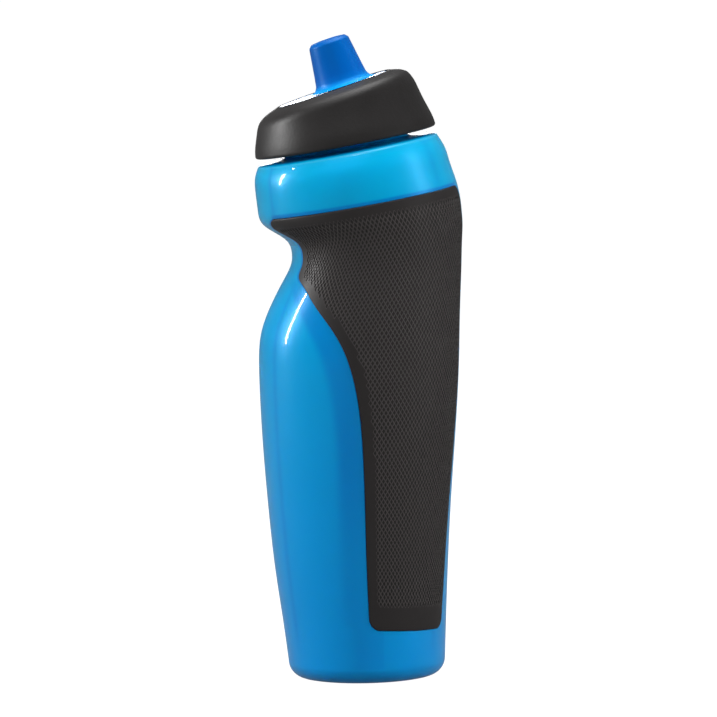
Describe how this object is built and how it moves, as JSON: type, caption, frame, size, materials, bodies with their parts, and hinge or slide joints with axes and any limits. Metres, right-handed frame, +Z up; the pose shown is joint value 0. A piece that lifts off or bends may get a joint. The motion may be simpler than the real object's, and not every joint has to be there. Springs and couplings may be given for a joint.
{
  "type": "sports squeeze bottle",
  "caption": "Soft squeeze drinking bottle with a forward-leaning neck, finger notch, textured side grips and a screw cap with a push-pull spout.",
  "frame": {"origin": "centre of the footprint, on the surface that the bottle stands on", "axes": "+Z up along the bottle, -X towards the front with the finger notch and the lean of the neck, +Y towards the right-hand grip"},
  "size_m": [0.0784, 0.0762, 0.2437],
  "materials": {
    "bottle_blue": "translucent glossy squeeze polyethylene",
    "grip_black": "soft satin rubber with a fine diamond texture",
    "cap_black": "soft-touch satin",
    "core_blue": "glossy moulded",
    "seal_grey": "soft matt silicone",
    "post_white": "semi-gloss moulded",
    "slider_white": "semi-gloss moulded",
    "spout_blue": "soft satin mouthpiece"
  },
  "bodies": {
    "bottle": {"bottle_body": "bottle_blue", "grip_panel_left": "grip_black", "grip_panel_right": "grip_black"},
    "cap_seal": {"cap_gasket": "seal_grey"},
    "cap": {"cap_shell": "cap_black", "cap_core": "core_blue", "nozzle_post": "post_white", "post_o_ring": "seal_grey"},
    "spout": {"spout_slider": "slider_white", "spout_sleeve": "spout_blue"}
  },
  "joints": [
    {"name": "cap_lift", "type": "slide", "parent": "bottle", "child": "cap_seal", "axis": [-0.165, 0, 0.9863], "range_m": [0, 0.015]},
    {"name": "cap_turn", "type": "hinge", "parent": "cap_seal", "child": "cap", "pos_m": [-0.0039, 0, 0.2004], "axis": [-0.165, 0, 0.9863], "range_deg": [0, 1080]},
    {"name": "spout_pull", "type": "slide", "parent": "cap", "child": "spout", "axis": [-0.2974, 0, 0.9548], "range_m": [0, 0.006]}
  ],
  "couplings": [
    {"joint": "cap_turn", "follows": "cap_lift", "rad_per_m": 1256.6}
  ]
}
